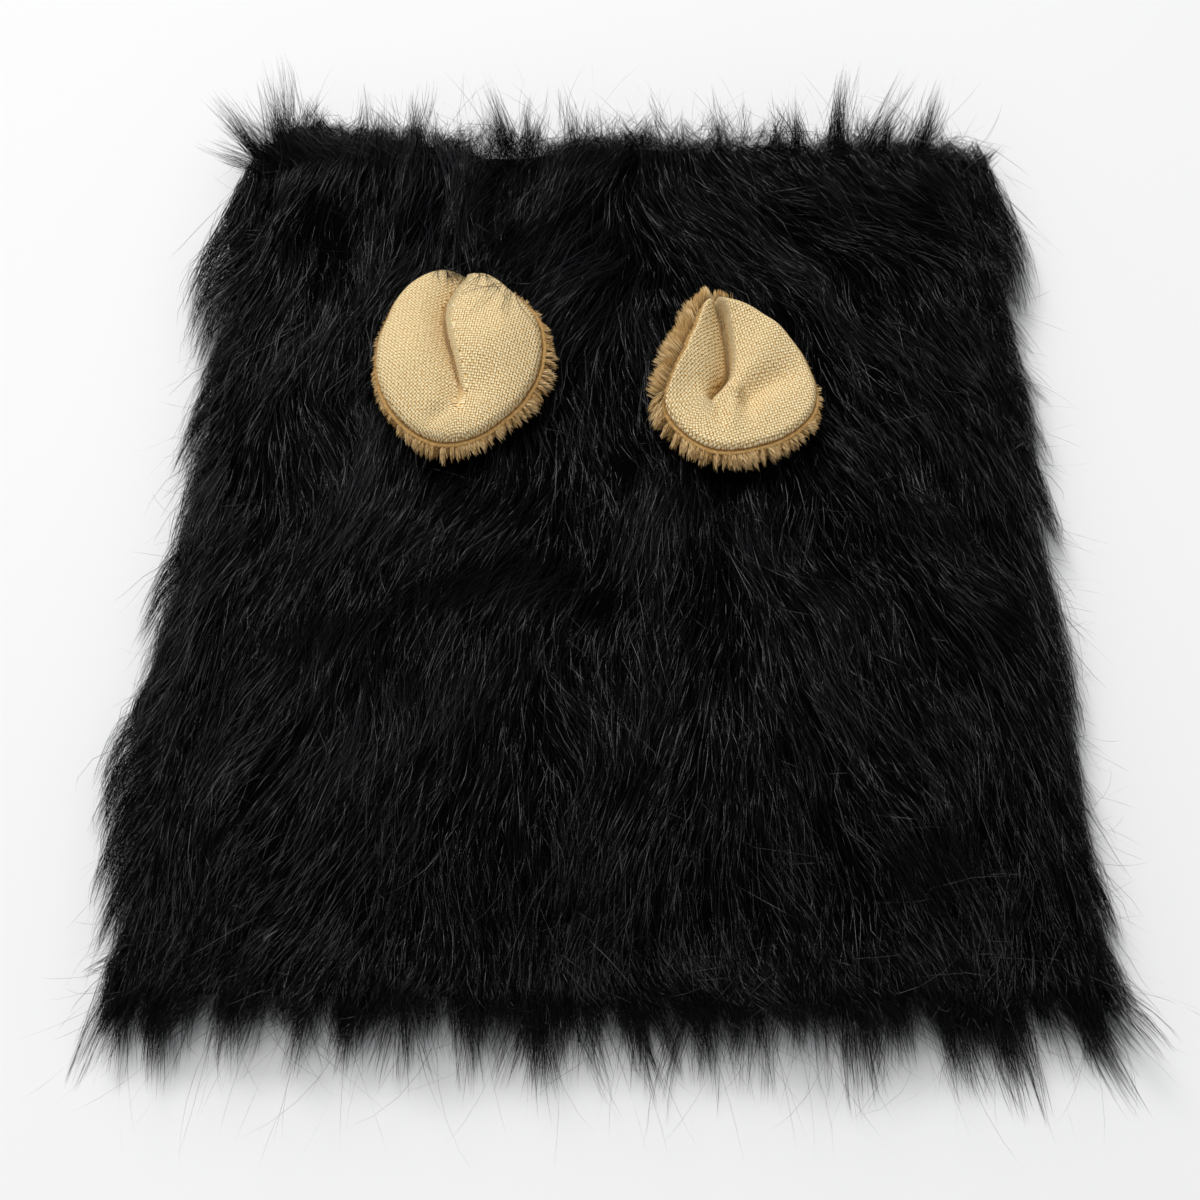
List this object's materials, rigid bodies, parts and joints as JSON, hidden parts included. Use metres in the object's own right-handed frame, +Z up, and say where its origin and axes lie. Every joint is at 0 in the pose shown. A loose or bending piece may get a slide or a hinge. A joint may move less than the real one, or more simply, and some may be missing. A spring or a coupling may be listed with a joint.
{
  "type": "pet lion mane wig",
  "caption": "Hollow black faux-fur sleeve worn over a pet's head like a lion's mane, with two floppy cloth ears, lying flat.",
  "frame": {"origin": "on the surface the mane lies on, under the middle of the whole", "axes": "+Y from the neck opening to the face opening, +Z up out of the front, +X to the right seen from above with the face opening at the top"},
  "size_m": [0.4336, 0.4858, 0.063],
  "materials": {
    "long_fur": "glossy black synthetic long-pile fur",
    "backing_cloth": "matt black knitted fur backing",
    "woven_cloth": "matt cream and tan basket weave",
    "short_plush": "soft tan short plush"
  },
  "bodies": {
    "root": {"mane_sleeve": "backing_cloth", "mane_fur_front": "long_fur", "mane_fur_back": "long_fur", "ear_left_face": "woven_cloth", "ear_left_back": "short_plush", "ear_right_face": "woven_cloth", "ear_right_back": "short_plush"}
  },
  "joints": []
}
